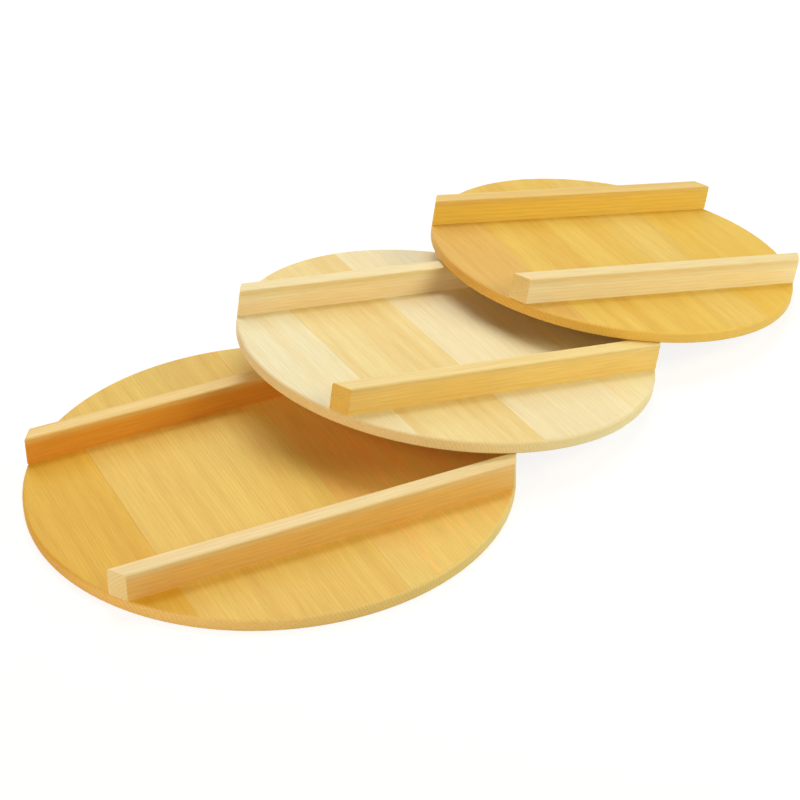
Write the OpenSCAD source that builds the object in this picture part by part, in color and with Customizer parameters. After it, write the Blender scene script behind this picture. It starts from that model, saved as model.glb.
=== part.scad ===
// Set of three round wooden lids for sushi rice tubs, in three sizes, laid out in a row.
// The large lid lies flat. The medium lid leans on the ends of the large lid's battens,
// and the small lid leans on the ends of the medium lid's battens.
// Each lid is a disc of edge-joined planks. Two battens, which are also the grips, run
// across the planks and hold them flat in sliding dovetails, and bamboo pegs hold the seams.
// A batten is slid in from the right. Its groove is blind at the left, where no joint shows.
// Millimetres. X runs along the large lid's battens, Y along its planks, Z up.
// The origin is the middle of the large lid's underside.

/* [Lids] */
// Diameter of the large lid
large_d = 390; // [350:1:450]
// Diameter of the medium lid
medium_d = 356; // [330:1:400]
// Diameter of the small lid
small_d = 330; // [300:1:370]
// Thickness of the planks
plank_t = 10; // [8:0.5:16]
// Width of the bevel that eases both edges of the rim
rim_bevel = 1.5; // [0.5:0.25:3.5]

/* [Plank seams] */
// Large lid's first seam, from the middle of the lid along the battens
large_seam_1 = -121; // [-140:1:-90]
// Large lid's second seam
large_seam_2 = 30; // [12:1:32]
// Large lid's third seam
large_seam_3 = 55; // [54:1:110]
// Medium lid's first seam
medium_seam_1 = -109; // [-125:1:-70]
// Medium lid's second seam
medium_seam_2 = -15; // [-40:1:30]
// Medium lid's third seam
medium_seam_3 = 89; // [60:1:120]
// Small lid's first seam
small_seam_1 = -99; // [-112:1:-60]
// Small lid's second seam
small_seam_2 = 20; // [-25:1:45]
// Small lid's third seam
small_seam_3 = 73; // [70:1:108]

/* [Battens] */
// Width of a batten
batten_w = 15; // [13:0.5:22]
// Height of a batten above the planks
batten_h = 23; // [15:0.5:32]
// Radius of the rounded upper edges of a batten
batten_round = 1.5; // [0.5:0.25:4]
// From the middle of the large lid to the middle of each of its battens
large_batten_y = 104; // [75:1:118]
// From the middle of the medium lid to the middle of each of its battens
medium_batten_y = 90; // [70:1:104]
// From the middle of the small lid to the middle of each of its battens
small_batten_y = 82; // [65:1:94]

/* [Sliding dovetails] */
// Depth of a batten's tongue in the planks
tongue_depth = 5; // [3:0.5:6.5]
// Width of the tongue where it leaves the batten
tongue_neck = 9; // [6:0.5:10]
// How much wider the tongue gets on each side towards its foot
tongue_flare = 1.2; // [0.5:0.1:1.4]
// Play between the tongue and its groove
tongue_play = 0.1; // [0.05:0.05:0.2]
// How far the tongue stops short of the batten's left end
tongue_stop = 14; // [10:0.5:20]

/* [Bamboo pegs] */
// Diameter of a peg
peg_d = 4; // [2.5:0.25:5]
// Length of a peg, half of it in each plank
peg_len = 20; // [14:1:21]
// Length of the taper at each end of a peg
peg_taper = 3; // [1:0.5:5]
// Play between a peg and its hole
peg_play = 0.05; // [0.02:0.01:0.1]
// From the middle of the lid to the two pegs between the battens
peg_inner_y = 40; // [20:1:52]

/* [Row of leaning lids] */
// How far the medium lid touches the table beyond the large lid's rim
medium_reach = 173.5; // [140:0.5:200]
// How far that point lies to the back of the large lid's middle
medium_shift = 74.5; // [50:0.5:95]
// How far the medium lid's battens are turned from the large lid's
medium_turn = 3.4; // [-8:0.1:8]
// How far the small lid touches the table beyond the point where the medium lid does
small_reach = 191.5; // [165:0.5:215]
// How far that point lies further to the back
small_shift = 72.5; // [50:0.5:90]
// How far the small lid's battens are turned from the large lid's
small_turn = -0.8; // [-8:0.1:8]
// Gap left between a leaning lid and the batten ends that carry it
rest_gap = 0.1; // [0.05:0.05:0.4]

/* [Hidden] */
$fn = 96;
// A cut runs past the face it opens on by this much
past = 1;

front = -1;
back = 1;

// A lid is its diameter, its batten offset and its seams
LARGE = [large_d, large_batten_y, [large_seam_1, large_seam_2, large_seam_3]];
MEDIUM = [medium_d, medium_batten_y, [medium_seam_1, medium_seam_2, medium_seam_3]];
SMALL = [small_d, small_batten_y, [small_seam_1, small_seam_2, small_seam_3]];
function rim_r(lid) = lid[0] / 2;
function batten_y(lid) = lid[1];
function seams(lid) = lid[2];

// Half the length of the chord that crosses a lid at this distance from its middle
function half_chord(lid, off) = sqrt(rim_r(lid) ^ 2 - off ^ 2);

// Left end of a lid's tongues
function tongue_left(lid) = tongue_stop - half_chord(lid, batten_y(lid));

// Where the pegs cross a seam: two between the battens, and one beyond each batten,
// two fifths of the way to the rim
function peg_outer_y(lid, seam) =
  let (
    inside = batten_y(lid) + batten_w / 2,
    outside = half_chord(lid, abs(seam) + peg_len / 2)
  ) (3 * inside + 2 * outside) / 5;
function peg_ys(lid, seam) = let (outer = peg_outer_y(lid, seam)) [-outer, -peg_inner_y, peg_inner_y, outer];

// A pose is the middle of the underside, the lean, the direction of the lowest rim point and the turn
function turned(p, a) = [p.x * cos(a) - p.y * sin(a), p.x * sin(a) + p.y * cos(a), p.z];
function tipped(p, a) = [p.x * cos(a) + p.z * sin(a), p.y, p.z * cos(a) - p.x * sin(a)];
function posed(pose, p) = pose[0] + turned(tipped(turned(p, pose[3] - pose[2]), pose[1]), pose[2]);

// Upper inner corner of a batten's far end, where the next lid comes to rest
function batten_corner(lid, side) =
  let (y = batten_y(lid) - batten_w / 2) [half_chord(lid, y), side * y, plank_t + batten_h];

// Slope of the plane that meets the table at the toe and lies just over two corners
function rest_slope(toe, p, q) =
  let (
    a = [toe.x - p.x, toe.y - p.y],
    b = [toe.x - q.x, toe.y - q.y],
    det = a.x * b.y - a.y * b.x,
    hp = p.z + rest_gap,
    hq = q.z + rest_gap
  ) [(hp * b.y - hq * a.y) / det, (hq * a.x - hp * b.x) / det];

// Pose of a lid whose underside has this slope and meets the table at the toe, inside the bevel
function leaning_pose(lid, toe, slope, turn) =
  let (
    lean = atan(norm(slope)),
    way = atan2(slope.y, slope.x),
    flat_r = rim_r(lid) - rim_bevel,
    run = flat_r * cos(lean)
  ) [[toe.x - run * cos(way), toe.y - run * sin(way), flat_r * sin(lean)], lean, way, turn];

function pose_on(lower, lower_pose, lid, toe, turn) =
  let (
    p = posed(lower_pose, batten_corner(lower, front)),
    q = posed(lower_pose, batten_corner(lower, back))
  ) leaning_pose(lid, toe, rest_slope(toe, p, q), turn);

flat_pose = [[0, 0, 0], 0, 0, 0];
medium_toe = [rim_r(LARGE) + medium_reach, medium_shift];
small_toe = medium_toe + [small_reach, small_shift];
medium_pose = pose_on(LARGE, flat_pose, MEDIUM, medium_toe, medium_turn);
small_pose = pose_on(MEDIUM, medium_pose, SMALL, small_toe, small_turn);

module at_pose(pose)
  translate(pose[0])
    rotate([0, 0, pose[2]])
      rotate([0, pose[1], 0])
        rotate([0, 0, pose[3] - pose[2]])
          children();

// Draws a profile of (y, z) along X, from its left end to its right end
module along_x(left, right)
  translate([left, 0, 0])
    rotate([90, 0, 90])
      linear_extrude(height = right - left)
        children();

// Solid of the whole disc, with both edges of its rim bevelled
module disc(lid) {
  flat_r = rim_r(lid) - rim_bevel;
  rotate_extrude()
    polygon([
      [0, 0],
      [flat_r, 0],
      [rim_r(lid), rim_bevel],
      [rim_r(lid), plank_t - rim_bevel],
      [flat_r, plank_t],
      [0, plank_t]
    ]);
}

// Section of a batten's tongue, which runs up into the batten, or of its groove when grown by the play
module tongue_section(grow = 0) {
  neck = tongue_neck / 2 + grow;
  foot = neck + tongue_flare;
  depth = tongue_depth + grow;
  translate([0, plank_t])
    polygon([[-neck, past], [-neck, 0], [-foot, -depth], [foot, -depth], [neck, 0], [neck, past]]);
}

// Section of a batten above the planks, with its two upper edges rounded
module grip_section()
  translate([-batten_w / 2, plank_t])
    union() {
      square([batten_w, batten_h - batten_round]);
      translate([batten_round, 0]) square([batten_w - 2 * batten_round, batten_h]);
      for (y = [batten_round, batten_w - batten_round])
        translate([y, batten_h - batten_round]) circle(batten_round);
    }

// Solid that cuts the batten ends to the rim and rounds their upper edge
module end_cut(lid) {
  height = plank_t + batten_h;
  rotate_extrude()
    union() {
      square([rim_r(lid), height - batten_round]);
      square([rim_r(lid) - batten_round, height]);
      translate([rim_r(lid) - batten_round, height - batten_round]) circle(batten_round);
    }
}

// Bamboo peg along X, tapered at both ends
module peg()
  rotate([0, 90, 0])
    rotate_extrude()
      polygon([
        [0, -peg_len / 2],
        [peg_d / 4, -peg_len / 2],
        [peg_d / 2, -peg_len / 2 + peg_taper],
        [peg_d / 2, peg_len / 2 - peg_taper],
        [peg_d / 4, peg_len / 2],
        [0, peg_len / 2]
      ]);

// Drilled hole for a peg
module peg_hole()
  rotate([0, 90, 0])
    cylinder(d = peg_d + 2 * peg_play, h = peg_len + 2 * peg_play, center = true);

// Puts its child at every peg position of a lid
module at_pegs(lid)
  for (seam = seams(lid), y = peg_ys(lid, seam))
    translate([seam, y, plank_t / 2])
      children();

// One plank of a lid, counted from 1 at the low end of the battens
module plank(lid, number) {
  edges = concat(-rim_r(lid) - past, seams(lid), rim_r(lid) + past);
  left = edges[number - 1];
  right = edges[number];
  reach = rim_r(lid) + past;
  difference() {
    intersection() {
      disc(lid);
      translate([left, -reach, -past]) cube([right - left, 2 * reach, plank_t + 2 * past]);
    }
    for (side = [front, back])
      translate([0, side * batten_y(lid), 0])
        along_x(tongue_left(lid) - tongue_play, reach) tongue_section(tongue_play);
    at_pegs(lid) peg_hole();
  }
}

// One batten of a lid, with its dovetail tongue
module batten(lid, side)
  intersection() {
    end_cut(lid);
    translate([0, side * batten_y(lid), 0])
      union() {
        along_x(-rim_r(lid), rim_r(lid)) grip_section();
        along_x(tongue_left(lid), rim_r(lid)) tongue_section();
      }
  }

module large_plank_1() color("#e4b25a") plank(LARGE, 1);
module large_plank_2() color("#ebc26e") plank(LARGE, 2);
module large_plank_3() color("#e6b765") plank(LARGE, 3);
module large_plank_4() color("#ecc575") plank(LARGE, 4);
module large_front_batten() color("#e6ba6c") batten(LARGE, front);
module large_back_batten() color("#e3ad55") batten(LARGE, back);
module large_pegs() color("#d9c48c") at_pegs(LARGE) peg();

module medium_plank_1() color("#f4e3b3") at_pose(medium_pose) plank(MEDIUM, 1);
module medium_plank_2() color("#f1d795") at_pose(medium_pose) plank(MEDIUM, 2);
module medium_plank_3() color("#f5e5b8") at_pose(medium_pose) plank(MEDIUM, 3);
module medium_plank_4() color("#f4e0aa") at_pose(medium_pose) plank(MEDIUM, 4);
module medium_front_batten() color("#ecc171") at_pose(medium_pose) batten(MEDIUM, front);
module medium_back_batten() color("#f2d590") at_pose(medium_pose) batten(MEDIUM, back);
module medium_pegs() color("#d9c48c") at_pose(medium_pose) at_pegs(MEDIUM) peg();

module small_plank_1() color("#e8b768") at_pose(small_pose) plank(SMALL, 1);
module small_plank_2() color("#edc35c") at_pose(small_pose) plank(SMALL, 2);
module small_plank_3() color("#eec86a") at_pose(small_pose) plank(SMALL, 3);
module small_plank_4() color("#ecc466") at_pose(small_pose) plank(SMALL, 4);
module small_front_batten() color("#f3dc97") at_pose(small_pose) batten(SMALL, front);
module small_back_batten() color("#e8b448") at_pose(small_pose) batten(SMALL, back);
module small_pegs() color("#d9c48c") at_pose(small_pose) at_pegs(SMALL) peg();

large_plank_1();
large_plank_2();
large_plank_3();
large_plank_4();
large_front_batten();
large_back_batten();
large_pegs();
medium_plank_1();
medium_plank_2();
medium_plank_3();
medium_plank_4();
medium_front_batten();
medium_back_batten();
medium_pegs();
small_plank_1();
small_plank_2();
small_plank_3();
small_plank_4();
small_front_batten();
small_back_batten();
small_pegs();
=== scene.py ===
import math

import bmesh
import bpy
from mathutils import Matrix, Vector


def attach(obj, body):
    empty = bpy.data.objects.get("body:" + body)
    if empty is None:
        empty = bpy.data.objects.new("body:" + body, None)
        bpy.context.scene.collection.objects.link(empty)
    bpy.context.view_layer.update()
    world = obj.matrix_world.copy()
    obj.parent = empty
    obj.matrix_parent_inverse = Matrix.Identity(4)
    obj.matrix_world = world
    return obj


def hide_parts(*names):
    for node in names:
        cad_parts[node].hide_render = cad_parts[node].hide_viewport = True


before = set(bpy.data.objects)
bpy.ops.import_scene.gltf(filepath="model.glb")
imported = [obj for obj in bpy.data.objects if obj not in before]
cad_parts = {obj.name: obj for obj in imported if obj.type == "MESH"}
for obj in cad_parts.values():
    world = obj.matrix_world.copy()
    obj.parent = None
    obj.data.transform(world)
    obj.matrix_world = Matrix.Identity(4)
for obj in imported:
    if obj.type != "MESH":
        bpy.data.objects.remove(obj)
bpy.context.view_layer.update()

scene = bpy.context.scene
scene.view_settings.view_transform = "Standard"


# Camera
# A long lens to the left of the row and about a metre above the table, so that the
# three discs show as flat ovals with little perspective.
eye = (-0.5284, -1.3539, 0.9789)
heading, tip, roll = math.radians(-25.43), math.radians(57.99), math.radians(-1.08)

camera_data = bpy.data.cameras.new("camera")
camera_data.sensor_width = 36
camera_data.lens = 98.88
camera = bpy.data.objects.new("camera", camera_data)
camera.matrix_world = (
    Matrix.Translation(eye)
    @ Matrix.Rotation(heading, 4, "Z")
    @ Matrix.Rotation(tip, 4, "X")
    @ Matrix.Rotation(roll, 4, "Z")
)
scene.collection.objects.link(camera)
scene.camera = camera


# Table
# A plain sheet of matt white card under the lids. It reads as white to the eye
# and still takes the soft shadow of the lids.
TABLE_HALF = 6
TABLE_DROP = 0.0005
LAMPLIT, UNLIT = 1.0, 2.4


def add_node(tree, kind, inputs=None, **settings):
    """Adds a node with its settings. An input is a value or the output it is linked to."""
    new = tree.nodes.new(kind)
    for name, value in settings.items():
        setattr(new, name, value)
    for socket, value in (inputs or {}).items():
        if isinstance(value, bpy.types.NodeSocket):
            tree.links.new(value, new.inputs[socket])
        else:
            new.inputs[socket].default_value = value
    return new


def linear(hex_colour):
    """sRGB hex to the linear RGBA that the shader sockets take."""
    parts = [int(hex_colour[i:i + 2], 16) / 255 for i in (1, 3, 5)]
    return [p / 12.92 if p <= 0.04045 else ((p + 0.055) / 1.055) ** 2.4 for p in parts] + [1]


def seen_by_eye(tree):
    """1 for what the camera sees, straight, in a gloss or through glass, and 0 for light."""
    path = add_node(tree, "ShaderNodeLightPath")
    seen = path.outputs["Is Camera Ray"]
    for ray in ("Is Glossy Ray", "Is Transmission Ray"):
        seen = add_node(tree, "ShaderNodeMath", {
            0: seen,
            1: path.outputs[ray],
        }, operation="MAXIMUM").outputs[0]
    return seen


# Matt card: no sheen, only a soft shadow. The camera sees part of its white as a glow, and nearly
# all of it far from the lids, so that it stays white away from the lamps.
card = bpy.data.materials.new("matt_white_card")
card.use_nodes = True
tree = card.node_tree
card_shader = tree.nodes["Principled BSDF"]
card_shader.inputs["Base Color"].default_value = linear("#e6e6e6")
card_shader.inputs["Roughness"].default_value = 0.9
card_shader.inputs["Specular IOR Level"].default_value = 0
glow = add_node(tree, "ShaderNodeEmission", {"Color": linear("#ffffff"), "Strength": 1.15})
place = add_node(tree, "ShaderNodeTexCoord")
away = add_node(tree, "ShaderNodeVectorMath", {0: place.outputs["Object"]}, operation="LENGTH")
far_glow = add_node(tree, "ShaderNodeMapRange", {
    "Value": away.outputs["Value"],
    "From Min": LAMPLIT,
    "From Max": UNLIT,
    "To Min": 0.75,
    "To Max": 0.95,
})
glow_share = add_node(tree, "ShaderNodeMath", {
    0: seen_by_eye(tree),
    1: far_glow.outputs[0],
}, operation="MULTIPLY")
both = add_node(tree, "ShaderNodeMixShader", {
    0: glow_share.outputs[0],
    1: card_shader.outputs[0],
    2: glow.outputs[0],
})
tree.links.new(both.outputs[0], tree.nodes["Material Output"].inputs["Surface"])

bm = bmesh.new()
bmesh.ops.create_grid(bm, x_segments=1, y_segments=1, size=TABLE_HALF)
bmesh.ops.translate(bm, verts=bm.verts, vec=(0, 0, -TABLE_DROP))
table_mesh = bpy.data.meshes.new("table")
bm.to_mesh(table_mesh)
bm.free()
table_mesh.materials.append(card)
table = bpy.data.objects.new("table", table_mesh)
scene.collection.objects.link(table)


# Studio light
# One wide soft box high behind the row and a weaker one low behind it, two warmer panels in
# front on the right and on the left, and a dim room. The backdrop is white to the eye.
def soft_box(name, place, aim, width, depth, watts, colour):
    lamp = bpy.data.lights.new(name, "AREA")
    lamp.shape = "RECTANGLE"
    lamp.size = width
    lamp.size_y = depth
    lamp.energy = watts
    lamp.color = linear(colour)[:3]
    box = bpy.data.objects.new(name, lamp)
    back = (Vector(place) - Vector(aim)).to_track_quat("Z", "Y")
    box.matrix_world = Matrix.Translation(place) @ back.to_matrix().to_4x4()
    scene.collection.objects.link(box)


row_middle = (0.18, 0.06, 0.03)
row_right = (0.40, 0.12, 0.04)
soft_box("overhead_box", (0.40, 0.60, 1.48), row_middle, 1.0, 0.5, 11.5, "#ffffff")
soft_box("back_box", (0.30, 1.30, 1.10), row_middle, 1.6, 0.8, 9.8, "#ffffff")
soft_box("right_panel", (0.95, -0.65, 0.65), row_right, 0.8, 0.6, 8.2, "#fff6ce")
soft_box("left_panel", (-1.25, -0.60, 0.80), row_middle, 1.0, 1.0, 16.2, "#ffd3a3")

room = bpy.data.worlds.new("room")
room.use_nodes = True
scene.world = room
tree = room.node_tree
shade = add_node(tree, "ShaderNodeMapRange", {
    "Value": seen_by_eye(tree),
    "To Min": 0.01,
    "To Max": 1.0,
})
tree.links.new(shade.outputs[0], tree.nodes["Background"].inputs["Strength"])
tree.nodes["Background"].inputs["Color"].default_value = linear("#ffffff")


# Planks of the large lid
# Four boards of sawara cypress, planed 10 mm thick, pegged and glued edge to edge and
# sawn round. Two grooves, wider at the bottom, cross them for the battens and stop short of
# the left rim.
MM = 0.001
NEAR = 0.01 * MM
PLANK_T = 10 * MM
RIM_STEPS = 240
RIM_ROUND = 1.5 * MM
RIM_ROUND_ABOVE = 2.5 * MM
SEAM_EASE = 0.2 * MM
SHORT_EDGE = 5 * MM
TONGUE_DEPTH = 5 * MM
TONGUE_NECK = 9 * MM
TONGUE_FLARE = 1.2 * MM
TONGUE_PLAY = 0.1 * MM
TONGUE_STOP = 14 * MM
SHARP_ANGLE = math.radians(50)

large = {
    "name": "large",
    "radius": 195 * MM,
    "batten_y": 104 * MM,
    "seams": (-121 * MM, 30 * MM, 55 * MM),
    "pose": Matrix.Identity(4),
}


def face_outward(bm):
    bmesh.ops.recalc_face_normals(bm, faces=bm.faces)
    if bm.calc_volume(signed=True) < 0:
        bmesh.ops.reverse_faces(bm, faces=bm.faces)


def saw(bm, place, across, **waste):
    """Cuts the whole mesh through a place, square to across."""
    bmesh.ops.bisect_plane(bm, geom=bm.verts[:] + bm.edges[:] + bm.faces[:], dist=1e-6,
                           plane_co=place, plane_no=across, **waste)


def round_over(bm, edges, offset, steps):
    bmesh.ops.bevel(bm, geom=edges, offset=offset, segments=steps, profile=0.5,
                    affect="EDGES", material=-1)


def piece_object(name, bm, lid):
    """Sets a piece in the lid's place, with its arrises smooth and its flats flat to the light."""
    bmesh.ops.transform(bm, matrix=lid["pose"], verts=bm.verts)
    face_outward(bm)
    mesh = bpy.data.meshes.new(name)
    bm.to_mesh(mesh)
    bm.free()
    mesh.shade_smooth()
    mesh.set_sharp_from_angle(angle=SHARP_ANGLE)
    piece = bpy.data.objects.new(name, mesh)
    scene.collection.objects.link(piece)
    flats = piece.modifiers.new("flat_faces", "WEIGHTED_NORMAL")
    flats.keep_sharp = True
    flats.weight = 100
    return piece


def tongue_left(lid):
    """Where the tongues of a lid's battens end on the left."""
    return TONGUE_STOP - math.sqrt(lid["radius"] ** 2 - lid["batten_y"] ** 2)


def groove_bar(bm, lid, y):
    """Adds the bar that cuts a groove: as wide as the tongue's neck at the planks' face, and
    flared below it."""
    bar = bmesh.ops.create_cube(bm, size=1)["verts"]
    for v in bar:
        x = tongue_left(lid) - TONGUE_PLAY if v.co.x < 0 else 2 * lid["radius"]
        z = PLANK_T - TONGUE_DEPTH - TONGUE_PLAY if v.co.z < 0 else PLANK_T + MM
        half = TONGUE_NECK / 2 + TONGUE_PLAY + TONGUE_FLARE * (PLANK_T - z) / TONGUE_DEPTH
        v.co = (x, y + math.copysign(half, v.co.y), z)


def grooved_disc(lid):
    """The lid's whole round plate, with both edges of its rim rounded and its grooves cut."""
    bm = bmesh.new()
    bmesh.ops.create_circle(bm, cap_ends=True, segments=RIM_STEPS, radius=lid["radius"])
    upper = bmesh.ops.extrude_face_region(bm, geom=bm.faces[:])["geom"]
    upper = [g for g in upper if isinstance(g, bmesh.types.BMVert)]
    bmesh.ops.translate(bm, verts=upper, vec=(0, 0, PLANK_T))
    bmesh.ops.recalc_face_normals(bm, faces=bm.faces)
    for z, offset in ((0, RIM_ROUND), (PLANK_T, RIM_ROUND_ABOVE)):
        rim = [e for e in bm.edges if all(abs(v.co.z - z) < NEAR for v in e.verts)]
        round_over(bm, rim, offset, 4)
    face_outward(bm)
    blank_mesh = bpy.data.meshes.new("blank")
    bm.to_mesh(blank_mesh)
    bm.free()
    blank = bpy.data.objects.new("blank", blank_mesh)

    bm = bmesh.new()
    for side in (-1, 1):
        groove_bar(bm, lid, side * lid["batten_y"])
    bmesh.ops.recalc_face_normals(bm, faces=bm.faces)
    cutter_mesh = bpy.data.meshes.new("cutter")
    bm.to_mesh(cutter_mesh)
    bm.free()
    cutter = bpy.data.objects.new("cutter", cutter_mesh)

    for tool in (blank, cutter):
        scene.collection.objects.link(tool)
    grooves = blank.modifiers.new("grooves", "BOOLEAN")
    grooves.operation = "DIFFERENCE"
    grooves.object = cutter
    bpy.context.view_layer.update()
    cut = blank.evaluated_get(bpy.context.evaluated_depsgraph_get())
    bm = bmesh.new()
    bm.from_mesh(cut.to_mesh())
    cut.to_mesh_clear()
    for tool in (blank, cutter):
        mesh = tool.data
        bpy.data.objects.remove(tool)
        bpy.data.meshes.remove(mesh)
    return bm


def plank(lid, disc, number):
    """One board of the disc, with the long edges of its seams eased."""
    radius = lid["radius"]
    sides = (-radius - MM,) + lid["seams"] + (radius + MM,)
    bm = disc.copy()
    for x, outward in ((sides[number - 1], -1), (sides[number], 1)):
        if abs(x) > radius:
            continue
        saw(bm, (x, 0, 0), (outward, 0, 0), clear_outer=True)
        open_edges = [e for e in bm.edges if e.is_boundary]
        bmesh.ops.edgeloop_fill(bm, edges=open_edges)
        arris = [e for e in open_edges
                 if e.calc_length() > SHORT_EDGE
                 and abs(e.verts[0].co.z - e.verts[1].co.z) < NEAR
                 and abs(abs(e.verts[0].co.z - PLANK_T / 2) - PLANK_T / 2) < NEAR]
        round_over(bm, arris, SEAM_EASE, 2)
    return piece_object(f"{lid['name']}_lid_plank_{number}", bm, lid)


# Planed sawara, unfinished: straight fine rings, pale early wood that darkens to a thin line of
# late wood, long soft streaks and a dull silky face. The end grain round the rim shows the rings as
# arcs and is paler, which is partly its own tone and partly painted light on the rim's sides and
# the batten ends. A batten sawn near the tree's middle has deeper heartwood on that side. That side
# is set as painted shading: on most battens a painted shade on the front face, deeper than the top,
# and on two a deeper top, so that the front face is painted lighter. In two of the large lid's
# planks the heartwood comes to the face in long streaks about the middle, as painted shade where
# the medium lid shades them. The fibres are drawn coarser than they are, so that they show.
RING_W = 2.6 * MM
FIBRE_W = 1.4 * MM
BAND_W = 9 * MM
STREAK_W = 28 * MM
STRETCH = 0.04
RING_SPACING = math.pi / 10  # of a wave texture at scale 1
HEART_SHADING_R = 50 * MM
HEART_SHADING_FADE = 3 * MM
HEART_SHADING_TONGUES = 240 * MM
HEART_SHADING_TIP, HEART_SHADING_FULL = 430 * MM, 260 * MM


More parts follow.
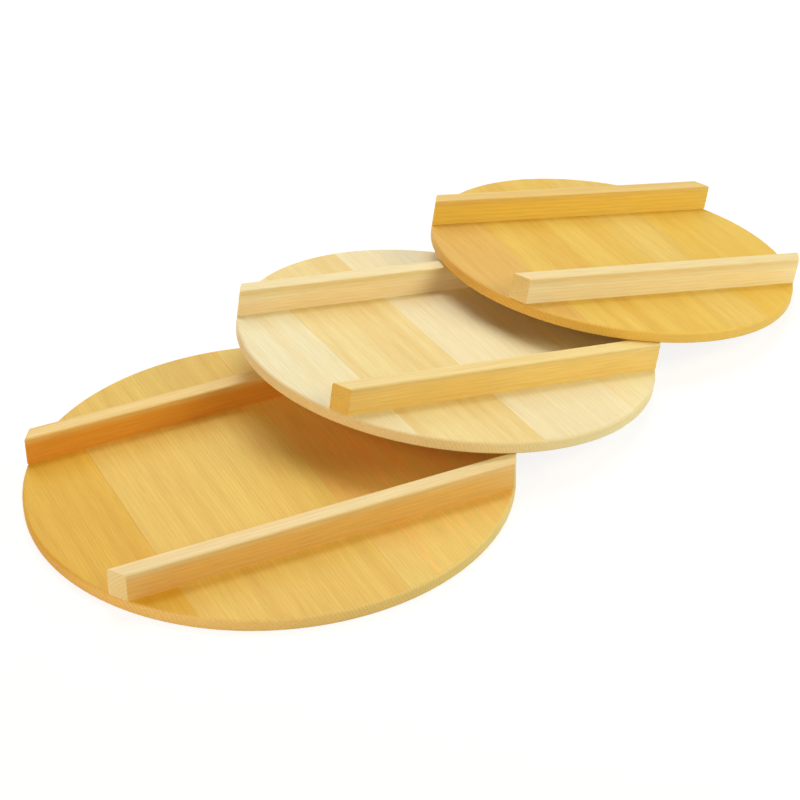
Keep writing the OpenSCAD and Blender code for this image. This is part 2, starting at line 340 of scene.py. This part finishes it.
def planed_sawara(name, lid, along, early, late, streak, pith, end_grain_and_light, heart_and_shading, seed):
    """along is the grain's direction on the lid, and pith the tree's middle, across and below,
    in mm. The two colours before seed are those of end grain, painted paler as light on those
    sides, and of heartwood, set as painted shading."""
    wood = bpy.data.materials.new(name)
    wood.use_nodes = True
    tree = wood.node_tree
    shader = tree.nodes["Principled BSDF"]
    shader.inputs["IOR"].default_value = 1.5
    shader.inputs["Specular IOR Level"].default_value = 0.25
    place = add_node(tree, "ShaderNodeTexCoord")
    turn = math.radians(0 if along == "Y" else -90)
    frame_of_log = lid["pose"] @ Matrix.Rotation(turn, 4, "Z")
    on_lid = add_node(tree, "ShaderNodeMapping", {
        "Vector": place.outputs["Object"],
        "Location": frame_of_log.to_translation(),
        "Rotation": frame_of_log.to_euler(),
    }, vector_type="TEXTURE")
    log = add_node(tree, "ShaderNodeMapping", {
        "Vector": on_lid.outputs[0],
        "Location": (-pith[0] * MM, seed, -pith[1] * MM),
        "Scale": (1, STRETCH, 1),
    }, vector_type="POINT")
    rings = add_node(tree, "ShaderNodeTexWave", {
        "Vector": log.outputs[0],
        "Scale": RING_SPACING / RING_W,
        "Distortion": 5.0,
        "Detail": 2.0,
        "Detail Scale": 0.25,
    }, wave_type="RINGS", rings_direction="Y", wave_profile="SAW")
    late_line = add_node(tree, "ShaderNodeValToRGB", {"Fac": rings.outputs["Fac"]})
    late_line.color_ramp.elements[0].position = 0.35
    late_line.color_ramp.elements[1].position = 0.95
    fibres = add_node(tree, "ShaderNodeTexNoise", {
        "Vector": log.outputs[0],
        "Scale": 1 / FIBRE_W,
        "Detail": 5.0,
        "Roughness": 0.65,
    })
    streaks = add_node(tree, "ShaderNodeTexNoise", {
        "Vector": log.outputs[0],
        "Scale": 1 / STREAK_W,
        "Detail": 1.0,
    })
    bands = add_node(tree, "ShaderNodeTexNoise", {
        "Vector": log.outputs[0],
        "Scale": 1 / BAND_W,
        "Detail": 1.0,
    })
    streaked = add_node(tree, "ShaderNodeMath", {
        0: streaks.outputs["Fac"],
        1: bands.outputs["Fac"],
    }, operation="ADD")
    streak_share = add_node(tree, "ShaderNodeMapRange", {
        "Value": streaked.outputs[0],
        "From Min": 0.75,
        "From Max": 1.3,
    })
    tone = add_node(tree, "ShaderNodeMix", {
        0: streak_share.outputs[0],
        6: linear(early),
        7: linear(streak),
    }, data_type="RGBA")
    # Heartwood, mixed in as painted shading: a painted shade about the middle of a plank, and a
    # painted shade or painted light on one side of a batten
    if heart_and_shading:
        if along == "Y":
            from_end = add_node(tree, "ShaderNodeSeparateXYZ", {"Vector": on_lid.outputs[0]})
            from_middle = add_node(tree, "ShaderNodeMath", {
                0: from_end.outputs["Y"],
            }, operation="ABSOLUTE")
            reach = add_node(tree, "ShaderNodeMath", {
                0: streaked.outputs[0],
                1: HEART_SHADING_TONGUES,
                2: from_middle.outputs[0],
            }, operation="MULTIPLY_ADD").outputs[0]
            sap, core = HEART_SHADING_TIP, HEART_SHADING_FULL
        else:
            across = add_node(tree, "ShaderNodeVectorMath", {
                0: log.outputs[0],
                1: (1, 0, 1),
            }, operation="MULTIPLY")
            reach = add_node(tree, "ShaderNodeVectorMath", {
                0: across.outputs[0],
            }, operation="LENGTH").outputs["Value"]
            sap, core = HEART_SHADING_R + HEART_SHADING_FADE, HEART_SHADING_R - HEART_SHADING_FADE
        heart_and_shading_share = add_node(tree, "ShaderNodeMapRange", {
            "Value": reach,
            "From Min": sap,
            "From Max": core,
            "To Max": 0.85,
        })
        tone = add_node(tree, "ShaderNodeMix", {
            0: heart_and_shading_share.outputs[0],
            6: tone.outputs[2],
            7: linear(heart_and_shading),
        }, data_type="RGBA")
    # End grain where a face looks along the grain: partly its own paler tone, partly painted light
    # on the rim's sides and the batten ends
    grain_axis = frame_of_log.to_3x3() @ Vector((0, 1, 0))
    facing = add_node(tree, "ShaderNodeVectorMath", {
        0: place.outputs["Normal"],
        1: grain_axis,
    }, operation="DOT_PRODUCT")
    facing = add_node(tree, "ShaderNodeMath", {
        0: facing.outputs["Value"],
    }, operation="ABSOLUTE")
    end_grain_and_light_share = add_node(tree, "ShaderNodeMapRange", {
        "Value": facing.outputs[0],
        "From Min": 0.1,
        "From Max": 0.6,
        "To Max": 0.8,
    })
    ended = add_node(tree, "ShaderNodeMix", {
        0: end_grain_and_light_share.outputs[0],
        6: tone.outputs[2],
        7: linear(end_grain_and_light),
    }, data_type="RGBA")
    ring_depth = add_node(tree, "ShaderNodeMapRange", {
        "Value": streaks.outputs["Fac"],
        "From Min": 0.35,
        "From Max": 0.65,
        "To Min": 0.27,
        "To Max": 0.09,
    })
    ring_share = add_node(tree, "ShaderNodeMath", {
        0: late_line.outputs[0],
        1: ring_depth.outputs[0],
    }, operation="MULTIPLY")
    ringed = add_node(tree, "ShaderNodeMix", {
        0: ring_share.outputs[0],
        6: ended.outputs[2],
        7: linear(late),
    }, data_type="RGBA")
    fibre_shade = add_node(tree, "ShaderNodeMapRange", {
        "Value": fibres.outputs["Fac"],
        "From Min": 0.36,
        "From Max": 0.64,
        "To Min": 0.94,
        "To Max": 1.04,
    })
    fibred = add_node(tree, "ShaderNodeVectorMath", {
        0: ringed.outputs[2],
        "Scale": fibre_shade.outputs[0],
    }, operation="SCALE")
    tree.links.new(fibred.outputs[0], shader.inputs["Base Color"])
    dull = add_node(tree, "ShaderNodeMapRange", {
        "Value": fibres.outputs["Fac"],
        "From Min": 0.3,
        "From Max": 0.7,
        "To Min": 0.6,
        "To Max": 0.48,
    })
    tree.links.new(dull.outputs[0], shader.inputs["Roughness"])
    relief = add_node(tree, "ShaderNodeMath", {
        0: fibres.outputs["Fac"],
        1: late_line.outputs[0],
    }, operation="ADD")
    bump = add_node(tree, "ShaderNodeBump", {
        "Height": relief.outputs[0],
        "Distance": 0.03 * MM,
        "Strength": 1.0,
    })
    tree.links.new(bump.outputs[0], shader.inputs["Normal"])
    return wood


def fit_piece(piece, lid, node, wood):
    piece.data.materials.clear()
    piece.data.materials.append(wood)
    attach(piece, f"{lid['name']}_lid")
    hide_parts(node)


def lay_planks(lid, boards, end_grain_and_light, seed, seed_step):
    """Makes a lid's boards from left to right, each from its own log."""
    disc = grooved_disc(lid)
    for number, (slot, early, late, streak, heart_and_shading, pith) in enumerate(boards, 1):
        node = f"{lid['name']}_plank_{number}"
        wood = planed_sawara(f"planed_sawara_{lid['name']}_{number}", lid, "Y", early, late,
                             streak, pith, end_grain_and_light, heart_and_shading, seed + seed_step * number)
        fit_piece(plank(lid, disc, number), lid, node, wood)
    disc.free()


# The slot, then the colours of early wood, late wood, streaks and heartwood, then the pith.
# On the third and fourth boards the heartwood is painted shade, where the medium lid shades them.
large_planks = (
    ("sawara_tan", "#deba45", "#c7952e", "#d6ab3b", None, (-300, -60)),
    ("sawara_gold", "#e4c969", "#cfa648", "#dbb95c", None, (-190, -90)),
    ("sawara_gold", "#e3cf76", "#d0a94e", "#ddc468", "#e6b560", (240, -50)),
    ("sawara_gold", "#e9d175", "#d5ae52", "#e1c367", "#ecaf60", (330, -90)),
)
# The end grain colour is paler partly as painted light on the rim's sides
lay_planks(large, large_planks, end_grain_and_light="#f6e49e", seed=0, seed_step=0.37)


# Battens of the large lid
# Two sticks of the same cypress, the lid's grips. A tongue under each slides into the planks'
# groove from the right, and then both ends are sawn off flush with the rim.
BATTEN_W = 15 * MM
BATTEN_H = 23 * MM
BATTEN_ROUND = 1.5 * MM
END_EASE = 0.5 * MM


def batten(lid, side):
    radius = lid["radius"]
    y = (-1 if side == "front" else 1) * lid["batten_y"]
    bm = bmesh.new()
    stick = bmesh.ops.create_cube(bm, size=1)["verts"]
    bmesh.ops.scale(bm, vec=(2 * radius, BATTEN_W, BATTEN_H), verts=stick)
    bmesh.ops.translate(bm, vec=(0, y, PLANK_T + BATTEN_H / 2), verts=stick)
    upper = [e for e in bm.edges
             if min(v.co.z for v in e.verts) > PLANK_T + MM and e.calc_length() > radius]
    round_over(bm, upper, BATTEN_ROUND, 4)

    # The tongue is drawn out of the middle of the underside and flared
    for off in (-TONGUE_NECK / 2, 0, TONGUE_NECK / 2):
        saw(bm, (0, y + off, 0), (0, 1, 0))
    saw(bm, (tongue_left(lid), 0, 0), (1, 0, 0))
    bm.normal_update()
    under = [f for f in bm.faces
             if f.normal.z < -0.5 and abs(f.calc_center_median().y - y) < TONGUE_NECK / 2
             and f.calc_center_median().x > tongue_left(lid)]
    tongue = bmesh.ops.extrude_face_region(bm, geom=under)["geom"]
    bmesh.ops.delete(bm, geom=under, context="FACES")
    for v in tongue:
        if isinstance(v, bmesh.types.BMVert):
            v.co.y = y + (v.co.y - y) * (1 + 2 * TONGUE_FLARE / TONGUE_NECK)
            v.co.z -= TONGUE_DEPTH

    # Both ends are sawn to the curve of the rim, and their edges eased
    for v in bm.verts:
        if abs(v.co.x) > radius - MM:
            v.co.x = math.copysign(math.sqrt(radius ** 2 - v.co.y ** 2), v.co.x)
    face_outward(bm)
    bm.normal_update()
    outline = [e for e in bm.edges
               if sum(abs(f.normal.x) > 0.5 for f in e.link_faces) == 1
               and min(v.co.z for v in e.verts) > PLANK_T - NEAR
               and max(v.co.z for v in e.verts) > PLANK_T + NEAR]
    round_over(bm, outline, END_EASE, 2)
    return piece_object(f"{lid['name']}_lid_{side}_batten", bm, lid)


def lay_battens(lid, sticks, seed, seed_step):
    for number, row in enumerate(sticks, 1):
        side, slot, early, late, streak, end_grain_and_light, heart_and_shading, pith = row
        node = f"{lid['name']}_{side}_batten"
        wood = planed_sawara(f"planed_sawara_{node}", lid, "X", early, late,
                             streak, pith, end_grain_and_light, heart_and_shading, seed + seed_step * number)
        fit_piece(batten(lid, side), lid, node, wood)


# As for the planks, with the colour of end grain before that of heartwood. The end grain colour
# is painted light on the batten ends as well as end grain, and the heartwood, set by the pith,
# is painted shade on each batten's front face, deeper than its top.
large_battens = (
    ("front", "batten_gold", "#ece4b7", "#e0b769", "#ecd6a2", "#e9eabb", "#f3cb76", (142, -10)),
    ("back", "batten_gold", "#ebd694", "#d19735", "#e3c680", "#dfb152", "#e29c27", (-66, -10)),
)
lay_battens(large, large_battens, seed=0, seed_step=0.41)


# Pegs of the large lid
# Twelve slips of split bamboo in the seams, pointed at both ends and driven in dry. They lie
# wholly inside the planks.
THREAD_W = 0.5 * MM


def split_bamboo(name, lid):
    # Split bamboo: straw yellow, with fine dark threads along the slip
    bamboo = bpy.data.materials.new(name)
    bamboo.use_nodes = True
    tree = bamboo.node_tree
    shader = tree.nodes["Principled BSDF"]
    place = add_node(tree, "ShaderNodeTexCoord")
    on_lid = add_node(tree, "ShaderNodeMapping", {
        "Vector": place.outputs["Object"],
        "Location": lid["pose"].to_translation(),
        "Rotation": lid["pose"].to_euler(),
    }, vector_type="TEXTURE")
    along = add_node(tree, "ShaderNodeMapping", {
        "Vector": on_lid.outputs[0],
        "Scale": (0.03, 1, 1),
    }, vector_type="POINT")
    threads = add_node(tree, "ShaderNodeTexNoise", {
        "Vector": along.outputs[0],
        "Scale": 1 / THREAD_W,
        "Detail": 2.0,
    })
    colour = add_node(tree, "ShaderNodeMix", {
        0: threads.outputs["Fac"],
        6: linear("#e6d39c"),
        7: linear("#c3a765"),
    }, data_type="RGBA")
    tree.links.new(colour.outputs[2], shader.inputs["Base Color"])
    bump = add_node(tree, "ShaderNodeBump", {
        "Height": threads.outputs["Fac"],
        "Distance": 0.02 * MM,
    })
    tree.links.new(bump.outputs[0], shader.inputs["Normal"])
    shader.inputs["Roughness"].default_value = 0.55
    return bamboo


def fit_pegs(lid):
    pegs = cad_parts[f"{lid['name']}_pegs"]
    bamboo = split_bamboo(f"split_bamboo_{lid['name']}", lid)
    for slot in pegs.material_slots:
        slot.material = bamboo


fit_pegs(large)


# Medium lid
# Built as the large one, in paler boards. It leans on the inner upper corners of the large lid's
# two right-hand batten ends, and its rim stands on the table at the far right.
REST_GAP = 0.1 * MM
MEDIUM_RADIUS = 178 * MM


def leaning_pose(lower, radius, toe, turn):
    """The place of a lid that stands on the table at its toe and lies on two batten corners."""
    y = lower["batten_y"] - BATTEN_W / 2
    x = math.sqrt(lower["radius"] ** 2 - y ** 2)
    z = PLANK_T + BATTEN_H
    front, back = [lower["pose"] @ Vector((x, side * y, z)) for side in (-1, 1)]
    runs = Matrix(((toe.x - front.x, toe.y - front.y), (toe.x - back.x, toe.y - back.y)))
    slope = runs.inverted() @ Vector((front.z + REST_GAP, back.z + REST_GAP))
    lean = math.atan(slope.length)
    way = math.atan2(slope.y, slope.x)
    flat_radius = radius - RIM_ROUND
    run = flat_radius * math.cos(lean)
    rise = flat_radius * math.sin(lean)
    middle = (toe.x - run * math.cos(way), toe.y - run * math.sin(way), rise)
    return (
        Matrix.Translation(middle)
        @ Matrix.Rotation(way, 4, "Z")
        @ Matrix.Rotation(lean, 4, "Y")
        @ Matrix.Rotation(turn - way, 4, "Z")
    )


medium_toe = Vector((large["radius"] + 173.5 * MM, 74.5 * MM))
medium = {
    "name": "medium",
    "radius": MEDIUM_RADIUS,
    "batten_y": 90 * MM,
    "seams": (-109 * MM, -15 * MM, 89 * MM),
    "pose": leaning_pose(large, MEDIUM_RADIUS, medium_toe, math.radians(3.4)),
}
medium_planks = (
    ("sawara_cream", "#ebe5c2", "#e0d29c", "#e7dbb0", None, (-260, -70)),
    ("sawara_pale", "#e9d99e", "#d7b972", "#e1c684", None, (-220, -60)),
    ("sawara_cream", "#eae1be", "#e0cf9c", "#e7d8ad", None, (210, -90)),
    ("sawara_cream", "#eae3ba", "#e3ca92", "#ead7a6", None, (300, -60)),
)
# The end grain colour is paler partly as painted light on the rim's sides
lay_planks(medium, medium_planks, end_grain_and_light="#f4e9bd", seed=2, seed_step=0.29)

# Here the end grain colour is painted light as well as end grain. The front batten's heartwood is
# painted shade on its front face, and the back batten's lies on its top, so that its front face is
# painted lighter.
medium_battens = (
    ("front", "batten_gold", "#eada9f", "#e1bc6e", "#e7cc8b", "#ead476", "#f8da87", (128, -10)),
    ("back", "batten_pale", "#f6f0d4", "#e6cc98", "#f6e3bc", "#f3e7c2", "#e7d9a8", (-116, 65)),
)
lay_battens(medium, medium_battens, seed=2, seed_step=0.43)
fit_pegs(medium)


# Small lid
# Built as the others, in deeper yellow boards. It leans on the medium lid's two right-hand
# batten ends, and its rim stands on the table at the far right of the row.
SMALL_RADIUS = 165 * MM

small_toe = medium_toe + Vector((191.5 * MM, 72.5 * MM))
small = {
    "name": "small",
    "radius": SMALL_RADIUS,
    "batten_y": 82 * MM,
    "seams": (-99 * MM, 20 * MM, 73 * MM),
    "pose": leaning_pose(medium, SMALL_RADIUS, small_toe, math.radians(-0.8)),
}
small_planks = (
    ("sawara_tan", "#dcb662", "#c69644", "#d5a854", None, (-240, -80)),
    ("sawara_yellow", "#e0c15e", "#cb9c40", "#d7ae4b", None, (-250, -50)),
    ("sawara_yellow", "#e1c46c", "#cda14b", "#d9b557", None, (200, -70)),
    ("sawara_yellow", "#e1c05a", "#cda03b", "#dab248", None, (280, -60)),
)
# The end grain colour is paler partly as painted light on the rim's sides
lay_planks(small, small_planks, end_grain_and_light="#edcb6a", seed=4, seed_step=0.33)

# Here the end grain colour is painted light as well as end grain. The front batten's heartwood lies
# on its top, so that its front face is painted lighter, and the back batten's is painted shade on
# its front face.
small_battens = (
    ("front", "batten_pale", "#f5eed3", "#e3cd94", "#f5e7bb", "#f3e3a9", "#e3cf9b", (56, 65)),
    ("back", "batten_gold", "#e2c581", "#d0aa4f", "#d9b76b", "#e4c066", "#edcd5e", (-44, -10)),
)
lay_battens(small, small_battens, seed=4, seed_step=0.47)
fit_pegs(small)
